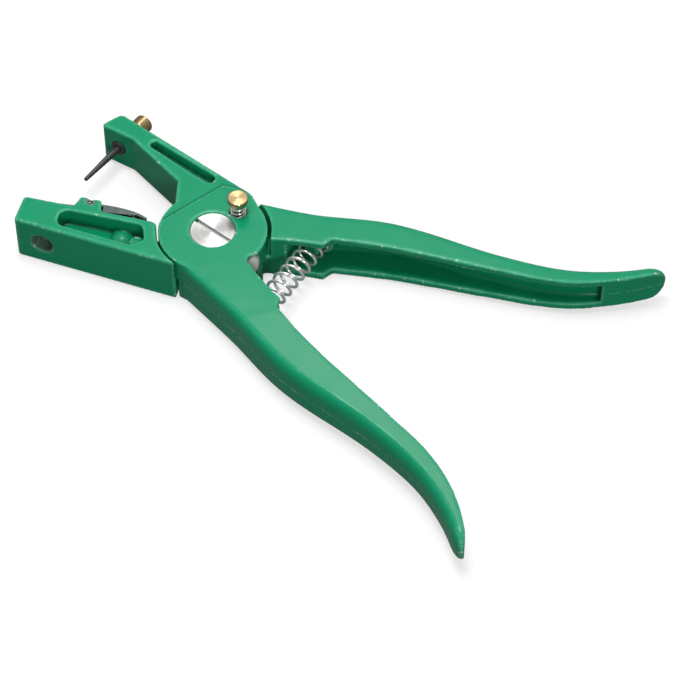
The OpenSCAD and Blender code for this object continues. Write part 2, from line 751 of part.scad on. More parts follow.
module pin_lever() {
    color(enamel)
        difference() {
            union() {
                mirror([0, 1, 0])
                    handle(pin_stations);
                translate([0, 0, mid]) {
                    difference() {
                        pin_jaw_arm();
                        for (side = [0, 1])
                            mirror([0, 0, side])
                                translate([0, 0, pin_jaw_t / 2 - slot_pocket])
                                    pin_jaw_slot();
                    }
                    pin_jaw_pad();
                    pin_jaw_root();
                }
                cylinder(r = hub_r, h = pin_high);
                hub_top();
            }
            translate([0, 0, lap_high - body_t])
                pin_seat();
            hub_relief(-1);
            translate([0, 0, -over])
                cylinder(d = pivot_d + 2 * pivot_fit, h = body_t + 2 * over);
            translate([0, 0, head_low - pass])
                cylinder(d = head_bore_d, h = body_t);
            translate([lock_xy[0], lock_xy[1], lock_floor])
                cylinder(d = lock_bore_d, h = body_t);
            translate([lock_xy[0], lock_xy[1], 0])
                cylinder(d = stem_d + 2 * fit, h = body_t);
            translate([lock_xy[0], lock_xy[1], 0])
                cylinder(d = foot_bore_d, h = foot_low + foot_h + pass);
            on_needle() {
                translate([0, 0, -back_y])
                    cylinder(d = shank_d + 2 * fit, h = back_y + over);
                translate([0, 0, collar_proud - collar_t])
                    cylinder(d = collar_d + 2 * fit, h = collar_t + over);
            }
        }
}

module pivot_screw() {
    color(bright)
        difference() {
            union() {
                translate([0, 0, head_low])
                    cylinder(d = head_d, h = head_t);
                translate([0, 0, lap_low])
                    cylinder(d = pivot_d, h = head_low - lap_low + over);
                cylinder(d = thread_d, h = mid + over);
            }
            translate([0, 0, head_low + head_t - slot_deep])
                rotate(slot_dir)
                    translate([-head_d, -slot_w / 2, 0])
                        cube([2 * head_d, slot_w, slot_deep + over]);
        }
}

module pivot_washer() {
    color(bright)
        translate([0, 0, nut_t])
            difference() {
                cylinder(d = nut_d - 1, h = washer_t);
                translate([0, 0, -over])
                    cylinder(d = thread_d + 4 * fit, h = washer_t + 2 * over);
            }
}

module pivot_nut() {
    color(bright)
        difference() {
            cylinder(d = nut_d, h = nut_t);
            translate([0, 0, -over])
                cylinder(d = thread_d + 2 * fit, h = nut_t + 2 * over);
            for (side = [-1, 1])
                translate([side * (nut_d + thread_d) / 4, 0, -over])
                    cylinder(d = spanner_d, h = nut_t / 2 + over);
        }
}

module return_spring() {
    color(bright)
        translate([spring_at, seat - spring_seat, mid])
            rotate([-90, 0, 0])
                wire(ret_path, ret_wire);
}

module needle() {
    color(dark)
        on_needle()
            difference() {
                union() {
                    translate([0, 0, collar_proud - collar_t])
                        cylinder(d1 = needle_d, d2 = tip_d, h = needle_l + collar_t - collar_proud);
                    translate([0, 0, needle_l])
                        cylinder(d1 = tip_d, d2 = tip_d - tip_edge, h = tip_edge);
                    translate([0, 0, -shank_l])
                        cylinder(d = shank_d, h = shank_l + collar_proud - collar_t);
                }
                translate([0, 0, -shank_l - over])
                    cylinder(d = stud_d + 2 * fit, h = shank_l + over - collar_t);
            }
}

module needle_collar() {
    color(dark)
        on_needle()
            translate([0, 0, collar_proud - collar_t])
                difference() {
                    cylinder(d = collar_d, h = collar_t);
                    translate([0, 0, -over])
                        cylinder(d = needle_d + 2 * fit, h = collar_t + 2 * over);
                }
}

module needle_screw() {
    reach = pad_deep / cos(needle_tilt) + 0.5;
    color(brass)
        on_needle() {
            translate([0, 0, -reach - neck_l - thumb_l])
                cylinder(d = thumb_d, h = thumb_l);
            translate([0, 0, -reach - neck_l - over])
                cylinder(d = shank_d + 1.6, h = neck_l + over);
            translate([0, 0, -reach - over])
                cylinder(d = shank_d, h = reach + over - shank_l - seat);
            translate([0, 0, -shank_l - seat - over])
                cylinder(d = stud_d, h = shank_l - collar_t);
        }
}

module lock_button() {
    color(brass)
        translate([lock_xy[0], lock_xy[1], 0]) {
            translate([0, 0, button_low])
                cylinder(d1 = button_under_d, d2 = button_d, h = button_h - button_rim);
            translate([0, 0, button_low + button_h - button_rim])
                cylinder(d = button_d, h = button_rim - 0.4);
            translate([0, 0, button_low + button_h - 0.4])
                cylinder(d1 = button_d, d2 = button_d - 0.8, h = 0.4);
            translate([0, 0, foot_low + foot_h])
                cylinder(d = stem_d, h = button_low - foot_low - foot_h);
            translate([0, 0, foot_low])
                cylinder(d = tenon_d, h = foot_h);
        }
}

module lock_foot() {
    color(bright)
        translate([lock_xy[0], lock_xy[1], foot_low])
            difference() {
                cylinder(d = foot_d, h = foot_h);
                translate([0, 0, -over])
                    cylinder(d = tenon_d + 2 * fit, h = foot_h + 2 * over);
            }
}

module lock_spring() {
    color(bright)
        translate([lock_xy[0], lock_xy[1], lock_floor + seat])
            wire(lock_path, lock_wire);
}

// Side view of the clip: the bowed tail and the straight fork, both from the eye on the pin
module tag_clip() {
    fork = [[0, pin_up - 0.4], [-fork_reach * 0.4, pin_up - 0.3], [-fork_reach, fork_up]];
    color(bright)
        on_tag_face()
            translate([-pin_at, 0, -clip_w / 2])
                difference() {
                    union() {
                        translate([0, pin_up, 0])
                            cylinder(r = eye_r, h = clip_w);
                        linear_extrude(clip_w)
                            polygon(strip([for (i = [0 : 12]) bezier(clip_tail, i / 12)], clip_t));
                        linear_extrude(clip_w)
                            polygon(strip([for (i = [0 : 6]) bezier(fork, i / 6)], clip_t));
                        for (z = [0, clip_w - tail_flange])
                            translate([0, 0, z])
                                linear_extrude(tail_flange)
                                    polygon(concat([for (i = [3 : 10]) bezier(clip_tail, i / 12)],
                                        [[tail_reach * 0.78, 3.9], [5, 2.4]]));
                    }
                    translate([0, pin_up, -over])
                        cylinder(d = pin_d + 2 * pin_fit, h = clip_w + 2 * over);
                    translate([-fork_reach - over, -over, (clip_w - fork_gap) / 2])
                        cube([fork_reach + over - 8.4, pin_up + 2, fork_gap]);
                }
}

module clip_pin() {
    color(bright)
        on_tag_face()
            translate([-pin_at, pin_up, pin_recess - mid])
                difference() {
                    cylinder(d = pin_d, h = body_t - 2 * pin_recess);
                    translate([0, 0, -over])
                        cylinder(d = pin_d * 0.55, h = body_t);
                }
}

module clip_spring() {
    color(bright)
        on_tag_face()
            translate([-clip_spring_at, seat - clip_bore, 0])
                rotate([-90, 0, 0])
                    wire(clip_path, clip_wire);
}

tag_lever();
pin_lever();
pivot_screw();
pivot_washer();
pivot_nut();
return_spring();
needle();
needle_collar();
needle_screw();
lock_button();
lock_foot();
lock_spring();
tag_clip();
clip_pin();
clip_spring();
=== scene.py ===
import math

import bmesh
import bpy
import numpy as np
from mathutils import Matrix, Vector


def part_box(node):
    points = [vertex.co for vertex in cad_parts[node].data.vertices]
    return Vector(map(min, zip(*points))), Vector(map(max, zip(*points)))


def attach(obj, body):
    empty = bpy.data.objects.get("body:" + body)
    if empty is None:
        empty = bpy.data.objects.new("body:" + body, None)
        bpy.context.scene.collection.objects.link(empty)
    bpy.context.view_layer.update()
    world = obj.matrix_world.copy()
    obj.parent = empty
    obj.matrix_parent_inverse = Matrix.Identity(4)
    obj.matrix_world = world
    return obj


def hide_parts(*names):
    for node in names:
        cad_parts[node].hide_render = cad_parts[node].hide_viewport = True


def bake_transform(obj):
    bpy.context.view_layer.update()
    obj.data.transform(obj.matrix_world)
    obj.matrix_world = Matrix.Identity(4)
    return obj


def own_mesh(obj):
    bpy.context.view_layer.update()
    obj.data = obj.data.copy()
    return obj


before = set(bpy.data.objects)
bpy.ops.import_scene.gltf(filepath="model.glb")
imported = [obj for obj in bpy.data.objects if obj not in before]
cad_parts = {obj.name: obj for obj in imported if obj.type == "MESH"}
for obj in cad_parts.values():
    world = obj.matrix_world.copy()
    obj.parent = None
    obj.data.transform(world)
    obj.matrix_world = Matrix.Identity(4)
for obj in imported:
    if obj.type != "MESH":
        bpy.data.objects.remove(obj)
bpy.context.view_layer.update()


# Studio: a sweep of white paper under soft boxes, seen by a long lens from above. The paper is white
# to the eye and dim in shiny surfaces, which mirror a lighter room behind the tool than before it.
camera_azimuth = math.radians(31.47)
camera_height = math.radians(50.8)
camera_target = Vector((0.06205, -0.00689, 0.0))
camera_distance = 1.0769
lens_mm = 148.24
sensor_mm = 36.0

camera_back = Vector((
    math.sin(camera_azimuth) * math.cos(camera_height),
    -math.cos(camera_azimuth) * math.cos(camera_height),
    math.sin(camera_height),
))
lens = bpy.data.cameras.new("camera")
lens.lens = lens_mm
lens.sensor_width = sensor_mm
camera = bpy.data.objects.new("camera", lens)
camera.location = camera_target + camera_back * camera_distance
camera.rotation_euler = (-camera_back).to_track_quat("-Z", "Y").to_euler()
bpy.context.scene.collection.objects.link(camera)
bpy.context.scene.camera = camera
bpy.context.scene.view_settings.view_transform = "Standard"


def feed(tree, node, sockets):
    """Gives each named or numbered socket of a node its value, or links it to an output."""
    for key, value in sockets.items():
        if isinstance(value, bpy.types.NodeSocket):
            tree.links.new(value, node.inputs[key])
        else:
            node.inputs[key].default_value = value


def tree_node(tree, kind, sockets=None, **settings):
    """A node of that kind in the tree, with its settings and what its sockets take."""
    made = tree.nodes.new(kind)
    for key, value in settings.items():
        setattr(made, key, value)
    feed(tree, made, sockets or {})
    return made


def reckon(tree, operation, *values, clamp=False):
    """Output of one step of arithmetic on numbers or other outputs."""
    sockets = dict(enumerate(values))
    return tree_node(tree, "ShaderNodeMath", sockets, operation=operation, use_clamp=clamp).outputs[0]


def reckon_vector(tree, operation, *values):
    """Outputs of one step of arithmetic on vectors: Vector, or Value where the result is one number."""
    return tree_node(tree, "ShaderNodeVectorMath", dict(enumerate(values)), operation=operation).outputs


def ramp(tree, value, low=0.0, high=1.0, to_low=0.0, to_high=1.0, kind="LINEAR"):
    """Output that goes from to_low to to_high while the value goes from low to high."""
    sockets = {"Value": value, "From Min": low, "From Max": high, "To Min": to_low, "To Max": to_high}
    return tree_node(tree, "ShaderNodeMapRange", sockets, interpolation_type=kind).outputs["Result"]


def mixed(tree, share, first, second):
    """Output of a mix of two colours: sockets 0, 6 and 7 take the share and the colours, 2 is the result."""
    return tree_node(tree, "ShaderNodeMix", {0: share, 6: first, 7: second}, data_type="RGBA").outputs[2]


def new_finish(name):
    """A material, its tree and its shader."""
    made = bpy.data.materials.new(name)
    made.use_nodes = True
    return made, made.node_tree, made.node_tree.nodes["Principled BSDF"]


def seen_directly(tree, mirrored):
    """Output of 1 for a ray from the eye or through glass, and of mirrored for one off a shiny surface."""
    path = tree_node(tree, "ShaderNodeLightPath").outputs
    glint = reckon(tree, "MULTIPLY", path["Is Glossy Ray"], mirrored)
    eye = reckon(tree, "MAXIMUM", path["Is Camera Ray"], glint)
    return reckon(tree, "MAXIMUM", eye, path["Is Transmission Ray"])


paper_mirrored = 0.12
paper_unseen_tone = (0.15, 0.15, 0.15, 1.0)
paper_seen_tone = (0.42, 0.42, 0.42, 1.0)
paper_unseen_glow = (0.0, 0.0, 0.0, 1.0)
paper_seen_glow = (0.62, 0.62, 0.62, 1.0)
paper, paper_tree, paper_shader = new_finish("white_paper")
paper_seen = seen_directly(paper_tree, paper_mirrored)
feed(paper_tree, paper_shader, {
    "Base Color": mixed(paper_tree, paper_seen, paper_unseen_tone, paper_seen_tone),
    "Roughness": 0.9,
    "Specular IOR Level": 0.0,
    "Emission Color": mixed(paper_tree, paper_seen, paper_unseen_glow, paper_seen_glow),
    "Emission Strength": 1.0,
})

floor_reach = 6.0
floor_level = -0.0002
floor_corners = ((-1, -1), (1, -1), (1, 1), (-1, 1))
floor_mesh = bpy.data.meshes.new("floor")
floor_mesh.from_pydata(
    [(x * floor_reach, y * floor_reach, floor_level) for x, y in floor_corners], [], [(0, 1, 2, 3)])
floor_mesh.materials.append(paper)
floor = bpy.data.objects.new("floor", floor_mesh)
bpy.context.scene.collection.objects.link(floor)

room_behind = (-0.33, 0.54, 0.775)
room_facing = (0.2, 0.9)
room_mirrored = (0.05, 0.6)
sky_unseen_level = 0.24
sky = bpy.data.worlds.new("studio")
sky.use_nodes = True
sky_tree = sky.node_tree
sky_way = tree_node(sky_tree, "ShaderNodeTexCoord").outputs["Generated"]
sky_behind = reckon_vector(sky_tree, "DOT_PRODUCT", sky_way, room_behind)["Value"]
sky_seen = seen_directly(sky_tree, ramp(sky_tree, sky_behind, *room_facing, *room_mirrored))
feed(sky_tree, sky_tree.nodes["Background"], {
    "Color": (1.0, 1.0, 1.0, 1.0),
    "Strength": ramp(sky_tree, sky_seen, to_low=sky_unseen_level),
})
bpy.context.scene.world = sky


def soft_box(name, place, aim, size, energy):
    """A square lamp at a place, turned to a point."""
    lamp = bpy.data.lights.new(name, "AREA")
    lamp.shape = "SQUARE"
    lamp.size = size
    lamp.energy = energy
    lit = bpy.data.objects.new(name, lamp)
    lit.location = place
    lit.rotation_euler = (Vector(aim) - Vector(place)).to_track_quat("-Z", "Y").to_euler()
    bpy.context.scene.collection.objects.link(lit)


hub_foot = (0.0, 0.0, 0.0)
handle_roots = (0.04, 0.0, 0.0)
soft_box("overhead_box", (-0.03, 0.0, 0.7), hub_foot, size=0.30, energy=3.25)
soft_box("back_box", (-0.28, 0.58, 1.1), handle_roots, size=0.60, energy=0.9)
soft_box("back_core", (-0.26, 0.55, 1.07), handle_roots, size=0.34, energy=2.1)
soft_box("front_box", (1.2, -1.2, 0.8), handle_roots, size=0.45, energy=10.0)


# Tag lever: the lower lapped lever, an aluminium die casting whose jaw has a pocket, a tag hole and
# two lugs. It is dipped in thick green enamel that rounds every edge and thins out there.
body_middle = 0.0105
body_top = 0.0210
handle_from = 0.0
handle_tip = 0.142


def merged_copy(node):
    """The CAD node's loose triangles as one closed mesh."""
    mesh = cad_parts[node].data.copy()
    work = bmesh.new()
    work.from_mesh(mesh)
    bmesh.ops.remove_doubles(work, verts=work.verts, dist=1e-6)
    bmesh.ops.dissolve_degenerate(work, edges=work.edges, dist=1e-7)
    work.to_mesh(mesh)
    work.free()
    mesh.materials.clear()
    return mesh


def plain_mesh(piece):
    """Turns a piece with its modifiers into a plain mesh."""
    bpy.context.view_layer.update()
    seen = piece.evaluated_get(bpy.context.evaluated_depsgraph_get())
    mesh = bpy.data.meshes.new_from_object(seen)
    piece.modifiers.clear()
    piece.data = mesh
    return mesh


def new_piece(name, mesh):
    """An object for a mesh, at the origin."""
    piece = bpy.data.objects.new(name, mesh)
    bpy.context.scene.collection.objects.link(piece)
    return piece


def rows_of(data, field):
    """A field of three numbers of a mesh's points, one row for each point."""
    rows = np.zeros(len(data) * 3)
    data.foreach_get(field, rows)
    return rows.reshape(-1, 3)


def store(mesh, name, shares):
    """Stores a value for each point, for the materials to read."""
    layer = mesh.attributes.new(name, "FLOAT", "POINT")
    layer.data.foreach_set("value", shares.astype(np.float32))


def neighbour_mean(edges, count, values):
    """Mean of a value over each point's neighbours."""
    total = np.zeros_like(values)
    np.add.at(total, edges[:, 0], values[edges[:, 1]])
    np.add.at(total, edges[:, 1], values[edges[:, 0]])
    return total / np.maximum(count, 1)[:, None]


def mark_edges(mesh, low, high, passes):
    """Stores "edge", 1 on outer edges, and a mask for painted shade, 1 in inner corners, from the bend of the
    surface.
    """
    place = rows_of(mesh.vertices, "co")
    up = rows_of(mesh.vertex_normals, "vector")
    edges = np.zeros(len(mesh.edges) * 2, int)
    mesh.edges.foreach_get("vertices", edges)
    edges = edges.reshape(-1, 2)
    count = np.bincount(edges.ravel(), minlength=len(place))
    span = np.linalg.norm(place[edges[:, 0]] - place[edges[:, 1]], axis=1).mean()
    bend = ((place - neighbour_mean(edges, count, place)) * up).sum(1) / span
    for name, side in (("edge", bend), ("hollow", -bend)):
        share = np.clip((side - low) / (high - low), 0.0, 1.0)[:, None]
        for step in range(passes):
            share = 0.5 * share + 0.5 * neighbour_mean(edges, count, share)
        store(mesh, name, share[:, 0])


def mark_rubbed(mesh, ovals):
    """Stores "rubbed": in each oval (centre, three half axes, depth) it rises from the rim to the depth."""
    place = rows_of(mesh.vertices, "co")
    share = np.zeros(len(place))
    for centre, half, depth in ovals:
        reach = np.array([np.array(axis) / np.dot(axis, axis) for axis in half])
        inside = 1.0 - np.linalg.norm((place - np.array(centre)) @ reach.T, axis=1)
        share = np.maximum(share, np.clip(inside * depth, 0.0, 1.0))
    store(mesh, "rubbed", share)


def mark_parting(mesh, outer, low, high):
    """Stores "parting", 1 where the mould's line was left: the handle's outer side, and all round its tip."""
    along = rows_of(mesh.vertices, "co")[:, 0]
    across = rows_of(mesh.vertex_normals, "vector")[:, 1]
    on_handle = np.where(along > handle_from, across * outer, 0.0)
    side = np.where(along > handle_tip, np.abs(across), on_handle)
    store(mesh, "parting", np.clip((side - low) / (high - low), 0.0, 1.0))


def dipped_casting(node, name, outer):
    """The casting under its enamel: an even skin over the CAD shape with every edge rounded."""
    piece = new_piece(name, merged_copy(node))
    skin = piece.modifiers.new("skin", "REMESH")
    skin.mode = "VOXEL"
    skin.voxel_size = 0.00052
    skin.use_smooth_shade = True
    flow = piece.modifiers.new("flow", "SMOOTH")
    flow.factor = 0.5
    flow.iterations = 4
    mark_edges(plain_mesh(piece), low=0.02, high=0.09, passes=1)
    mark_parting(piece.data, outer, low=0.25, high=0.5)
    return piece


def noise(tree, place, scale, detail, roughness):
    """Output of a noise from 0 to 1 over the surface."""
    sockets = {"Vector": place, "Scale": scale, "Detail": detail, "Roughness": roughness}
    return tree_node(tree, "ShaderNodeTexNoise", sockets).outputs["Fac"]


def stored(tree, name):
    """Output of a value that was stored on the mesh."""
    return tree_node(tree, "ShaderNodeAttribute", attribute_name=name).outputs["Fac"]


def bumped(tree, height, strength, distance):
    """Output of the normal over a height."""
    sockets = {"Height": height, "Strength": strength, "Distance": distance}
    return tree_node(tree, "ShaderNodeBump", sockets).outputs["Normal"]


def shader_group(name, inputs, outputs):
    """An empty shader group with its sockets, given as (name, kind) pairs, and its two end nodes."""
    tree = bpy.data.node_groups.new(name, "ShaderNodeTree")
    for side, sockets in (("INPUT", inputs), ("OUTPUT", outputs)):
        for label, kind in sockets:
            tree.interface.new_socket(label, in_out=side, socket_type=kind)
    return tree, tree_node(tree, "NodeGroupInput").outputs, tree_node(tree, "NodeGroupOutput")


# Wear on outer edges, partly painted light: thin finish all along the edge, whose lighter colour is also a
# painted highlight line, and small bare nicks where a noise is high, which also stand in for painted glints
nick_sharpness = 14.0
edge_wear_and_glint, wear_in, wear_out = shader_group(
    "edge_wear_and_glint",
    (("Position", "NodeSocketVector"), ("Grain", "NodeSocketFloat"), ("Nicks And Glints", "NodeSocketFloat")),
    (("Thin And Highlight", "NodeSocketFloat"), ("Bare And Glint", "NodeSocketFloat")),
)
wear_edge = stored(edge_wear_and_glint, "edge")
wear_noise = noise(edge_wear_and_glint, wear_in["Position"], wear_in["Grain"], detail=4.0, roughness=0.65)
wear_level = reckon(edge_wear_and_glint, "SUBTRACT", 1.0, wear_in["Nicks And Glints"])
wear_high = reckon(edge_wear_and_glint, "SUBTRACT", wear_noise, wear_level)
wear_nicks_and_glints = reckon(edge_wear_and_glint, "MULTIPLY", wear_high, nick_sharpness, clamp=True)
feed(edge_wear_and_glint, wear_out, {
    "Thin And Highlight": reckon(edge_wear_and_glint, "MULTIPLY", wear_edge, wear_noise),
    "Bare And Glint": reckon(edge_wear_and_glint, "MULTIPLY", wear_nicks_and_glints, wear_edge),
})

enamel_deep = (0.003, 0.262, 0.120, 1.0)
enamel_light = (0.007, 0.315, 0.150, 1.0)
# Thin enamel on edges: lighter partly as real thin paint and partly as a painted highlight line
enamel_thin_and_highlight = (0.110, 0.530, 0.310, 1.0)
# Painted shade: the enamel is darkened in inner corners and along steps, where shade falls
enamel_painted_shade = (0.004, 0.090, 0.040, 1.0)
bare_casting = (0.90, 0.905, 0.88, 1.0)
# Dull green-grey metal: partly worn enamel over the casting and partly painted shade inside the tag hole
dull_and_shaded_casting = (0.10, 0.215, 0.155, 1.0)
bare_shine = 0.12
bare_roughness = 0.25
parting_half = 0.00042
peel_share = 0.14
flow_share = 0.85
parting_share = 1.2

enamel, enamel_tree, enamel_shader = new_finish("green_enamel")
enamel_at = tree_node(enamel_tree, "ShaderNodeTexCoord").outputs["Object"]
enamel_cloud = noise(enamel_tree, enamel_at, scale=38.0, detail=3.0, roughness=0.5)
enamel_flow = noise(enamel_tree, enamel_at, scale=130.0, detail=1.0, roughness=0.4)
enamel_peel = noise(enamel_tree, enamel_at, scale=620.0, detail=2.0, roughness=0.5)
rubbed_grain = noise(enamel_tree, enamel_at, scale=420.0, detail=4.0, roughness=0.65)
enamel_nicks_and_glints = {"Position": enamel_at, "Grain": 560.0, "Nicks And Glints": 0.40}
enamel_wear_and_glint = tree_node(enamel_tree, "ShaderNodeGroup", enamel_nicks_and_glints, node_tree=edge_wear_and_glint)

# Parting line where the halves of the mould met, at half height: a low ridge, rubbed thin and bare in places
enamel_height = tree_node(enamel_tree, "ShaderNodeSeparateXYZ", {0: enamel_at}).outputs["Z"]
parting_far = reckon(enamel_tree, "ABSOLUTE", reckon(enamel_tree, "SUBTRACT", enamel_height, body_middle))
parting_line = ramp(enamel_tree, parting_far, 0.0, parting_half, 1.0, 0.0, "SMOOTHSTEP")
parting_ridge = reckon(enamel_tree, "MULTIPLY", parting_line, stored(enamel_tree, "parting"))
parting_rub = ramp(enamel_tree, rubbed_grain, 0.42, 0.60, to_high=0.85)
parting_thin = reckon(enamel_tree, "MULTIPLY", parting_ridge, parting_rub)
parting_high = ramp(enamel_tree, enamel_peel, 0.50, 0.62, to_high=0.7)
parting_bare = reckon(enamel_tree, "MULTIPLY", parting_ridge, parting_high)

# Where metal shows: nicks on the edges and the parting line, which are also painted glints, and rubbed places
# with a ragged rim and a clean middle
worn_thin_and_highlight = reckon(enamel_tree, "MAXIMUM", enamel_wear_and_glint.outputs["Thin And Highlight"], parting_thin)
worn_bare_and_glint = reckon(enamel_tree, "MAXIMUM", enamel_wear_and_glint.outputs["Bare And Glint"], parting_bare)
rubbed_rough = ramp(enamel_tree, rubbed_grain, 0.3, 0.7, -0.10, 0.10)
rubbed_depth = reckon(enamel_tree, "ADD", stored(enamel_tree, "rubbed"), rubbed_rough)
rubbed_rim = ramp(enamel_tree, rubbed_depth, 0.10, 0.16, kind="SMOOTHSTEP")
rubbed_clean = ramp(enamel_tree, rubbed_depth, 0.25, 0.60)
rubbed_bright_and_glint = reckon(enamel_tree, "MAXIMUM", rubbed_clean, worn_bare_and_glint)
rubbed_metal = mixed(enamel_tree, rubbed_bright_and_glint, dull_and_shaded_casting, bare_casting)
enamel_bare_and_glint = reckon(enamel_tree, "MAXIMUM", worn_bare_and_glint, rubbed_rim)

enamel_tone = mixed(enamel_tree, enamel_cloud, enamel_deep, enamel_light)
# Edges are lighter from thin enamel and from a painted highlight line
enamel_with_edge_highlight = mixed(enamel_tree, worn_thin_and_highlight, enamel_tone, enamel_thin_and_highlight)
# Painted shade: inner corners of the enamel are darkened where shade falls
enamel_with_painted_shade = mixed(enamel_tree, stored(enamel_tree, "hollow"), enamel_with_edge_highlight, enamel_painted_shade)
enamel_gloss = ramp(enamel_tree, enamel_flow, to_low=0.12, to_high=0.24)
peel_height = reckon(enamel_tree, "MULTIPLY", enamel_peel, peel_share)
flow_height = reckon(enamel_tree, "MULTIPLY_ADD", enamel_flow, flow_share, peel_height)
skin_height = reckon(enamel_tree, "MULTIPLY_ADD", parting_ridge, parting_share, flow_height)
feed(enamel_tree, enamel_shader, {
    "Base Color": mixed(enamel_tree, enamel_bare_and_glint, enamel_with_painted_shade, rubbed_metal),
    "Metallic": reckon(enamel_tree, "MULTIPLY", enamel_bare_and_glint, bare_shine),
    "Roughness": reckon(enamel_tree, "MULTIPLY_ADD", enamel_bare_and_glint, bare_roughness, enamel_gloss),
    "Specular IOR Level": 0.18,
    "Normal": bumped(enamel_tree, skin_height, strength=0.55, distance=0.00016),
})

tag_casting = dipped_casting("tag_lever", "tag_casting", outer=1.0)
tag_hole = (-0.05834, -0.03230, body_middle)
tag_bore = ((0.01176, -0.05782, 0.0), (0.00539, 0.00110, 0.0), (0.0, 0.0, 0.0055))
lug_eye = (-0.04873, -0.01307, body_top)
lug_top = ((0.0038, 0.0, 0.0), (0.0, 0.0030, 0.0), (0.0, 0.0, 0.0018))
# The tag hole's wall mostly takes the dull metal colour, which is partly worn enamel and partly painted shade
mark_rubbed(tag_casting.data, ((tag_hole, tag_bore, 1.0), (lug_eye, lug_top, 0.35)))
tag_casting.data.materials.append(enamel)
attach(tag_casting, "tag_lever")
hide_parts("tag_lever")


# Pin lever: the upper lapped lever, cast and dipped as the other one. Its jaw carries the needle,
# and its raised hub top is sunk for the head of the pivot screw and bored for the lock.
pin_casting = dipped_casting("pin_lever", "pin_casting", outer=-1.0)
notch_wall = (0.0210, -0.0034, 0.0150)
notch_rub = ((0.0034, 0.0, 0.0), (0.0, 0.0044, 0.0), (0.0, 0.0, 0.0068))
mark_rubbed(pin_casting.data, ((notch_wall, notch_rub, 1.5),))
pin_casting.data.materials.append(enamel)
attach(pin_casting, "pin_lever")
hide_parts("pin_lever")


# Pivot screw with its washer and round nut: turned steel, zinc plated, the head faced off on the
# lathe and slotted. The nut is drawn up from below with a two-pin spanner.
def machined(node, name, bevel, finish):
    """A turned or milled piece: the CAD shape with its sharp edges broken."""
    mesh = merged_copy(node)
    work = bmesh.new()
    work.from_mesh(mesh)
    bmesh.ops.dissolve_limit(work, angle_limit=math.radians(0.6), verts=work.verts, edges=work.edges)
    work.to_mesh(mesh)
    work.free()
    mesh.shade_smooth()
    piece = new_piece(name, mesh)
    broken = piece.modifiers.new("broken_edges", "BEVEL")
    broken.limit_method = "ANGLE"
    broken.angle_limit = math.radians(32)
    broken.width = bevel
    broken.segments = 3
    faced = piece.modifiers.new("flat_faces", "WEIGHTED_NORMAL")
    faced.mode = "FACE_AREA"
    faced.weight = 100
    mark_edges(plain_mesh(piece), low=0.05, high=0.2, passes=0)
    piece.data.materials.append(finish)
    return piece


# Tool marks of a lathe: fine uneven rings round an axis along Z through the origin of Position
turned_rings, rings_in, rings_out = shader_group(
    "turned_rings",
    (("Position", "NodeSocketVector"), ("Rings", "NodeSocketFloat")),
    (("Height", "NodeSocketFloat"), ("Shade", "NodeSocketFloat")),
)
rings_flat = reckon_vector(turned_rings, "MULTIPLY", rings_in["Position"], (1.0, 1.0, 0.0))["Vector"]
rings_radius = reckon_vector(turned_rings, "LENGTH", rings_flat)["Value"]
rings_count = reckon(turned_rings, "MULTIPLY", rings_radius, rings_in["Rings"])
for label, scale, detail, roughness in (("Height", 1.0, 3.0, 0.7), ("Shade", 0.16, 1.0, 0.5)):
    marks = {"W": rings_count, "Scale": scale, "Detail": detail, "Roughness": roughness}
    cut = tree_node(turned_rings, "ShaderNodeTexNoise", marks, noise_dimensions="1D")
    feed(turned_rings, rings_out, {label: cut.outputs["Fac"]})


def turned_metal(name, dark, light, centre, turn, rings, depth, smooth, rough, fan):
    """Metal fresh from the lathe, with rings about an axis through centre, turned onto Z."""
    made, tree, shader = new_finish(name)
    at = tree_node(tree, "ShaderNodeTexCoord").outputs["Object"]
    moved = reckon_vector(tree, "SUBTRACT", at, centre)["Vector"]
    turned = tree_node(tree, "ShaderNodeMapping", {"Vector": moved, "Rotation": turn}).outputs["Vector"]
    marks = tree_node(tree, "ShaderNodeGroup", {"Position": turned, "Rings": rings}, node_tree=turned_rings)
    stain = noise(tree, at, scale=260.0, detail=3.0, roughness=0.6)
    stain_share = 0.22
    share = reckon(tree, "MULTIPLY_ADD", stain, stain_share, marks.outputs["Shade"])
    feed(tree, shader, {
        "Base Color": mixed(tree, share, dark, light),
        "Metallic": 1.0,
        "Roughness": ramp(tree, stain, to_low=smooth, to_high=rough),
        "Anisotropic": fan,
        "Anisotropic Rotation": 0.25,
        "Normal": bumped(tree, marks.outputs["Height"], strength=0.35, distance=depth),
        "Tangent": tree_node(tree, "ShaderNodeTangent", direction_type="RADIAL", axis="Z").outputs["Tangent"],
    })
    return made


def smooth_steel(name, dark, light, rough, metal=1.0):
    """Drawn or milled steel with faint smudges."""
    made, tree, shader = new_finish(name)
    at = tree_node(tree, "ShaderNodeTexCoord").outputs["Object"]
    smudge = noise(tree, at, scale=340.0, detail=4.0, roughness=0.6)
    feed(tree, shader, {
        "Base Color": mixed(tree, smudge, dark, light),
        "Metallic": metal,
        "Roughness": ramp(tree, smudge, to_low=rough * 0.6, to_high=rough * 1.5),
        "Normal": bumped(tree, smudge, strength=0.15, distance=0.00003),
    })
    return made


turned_steel = turned_metal(
    "turned_steel", dark=(0.36, 0.36, 0.35, 1.0), light=(0.53, 0.53, 0.52, 1.0),
    centre=(0.0, 0.0, 0.0), turn=(0.0, 0.0, 0.0), rings=5200.0, depth=0.00003,
    smooth=0.30, rough=0.38, fan=0.8)
milled_steel = smooth_steel(
    "milled_steel", dark=(0.60, 0.60, 0.59, 1.0), light=(0.82, 0.82, 0.81, 1.0), rough=0.40)

pivot_head = machined("pivot_screw", "pivot_screw_turned", 0.00022, turned_steel)
pivot_head.data.materials.append(milled_steel)
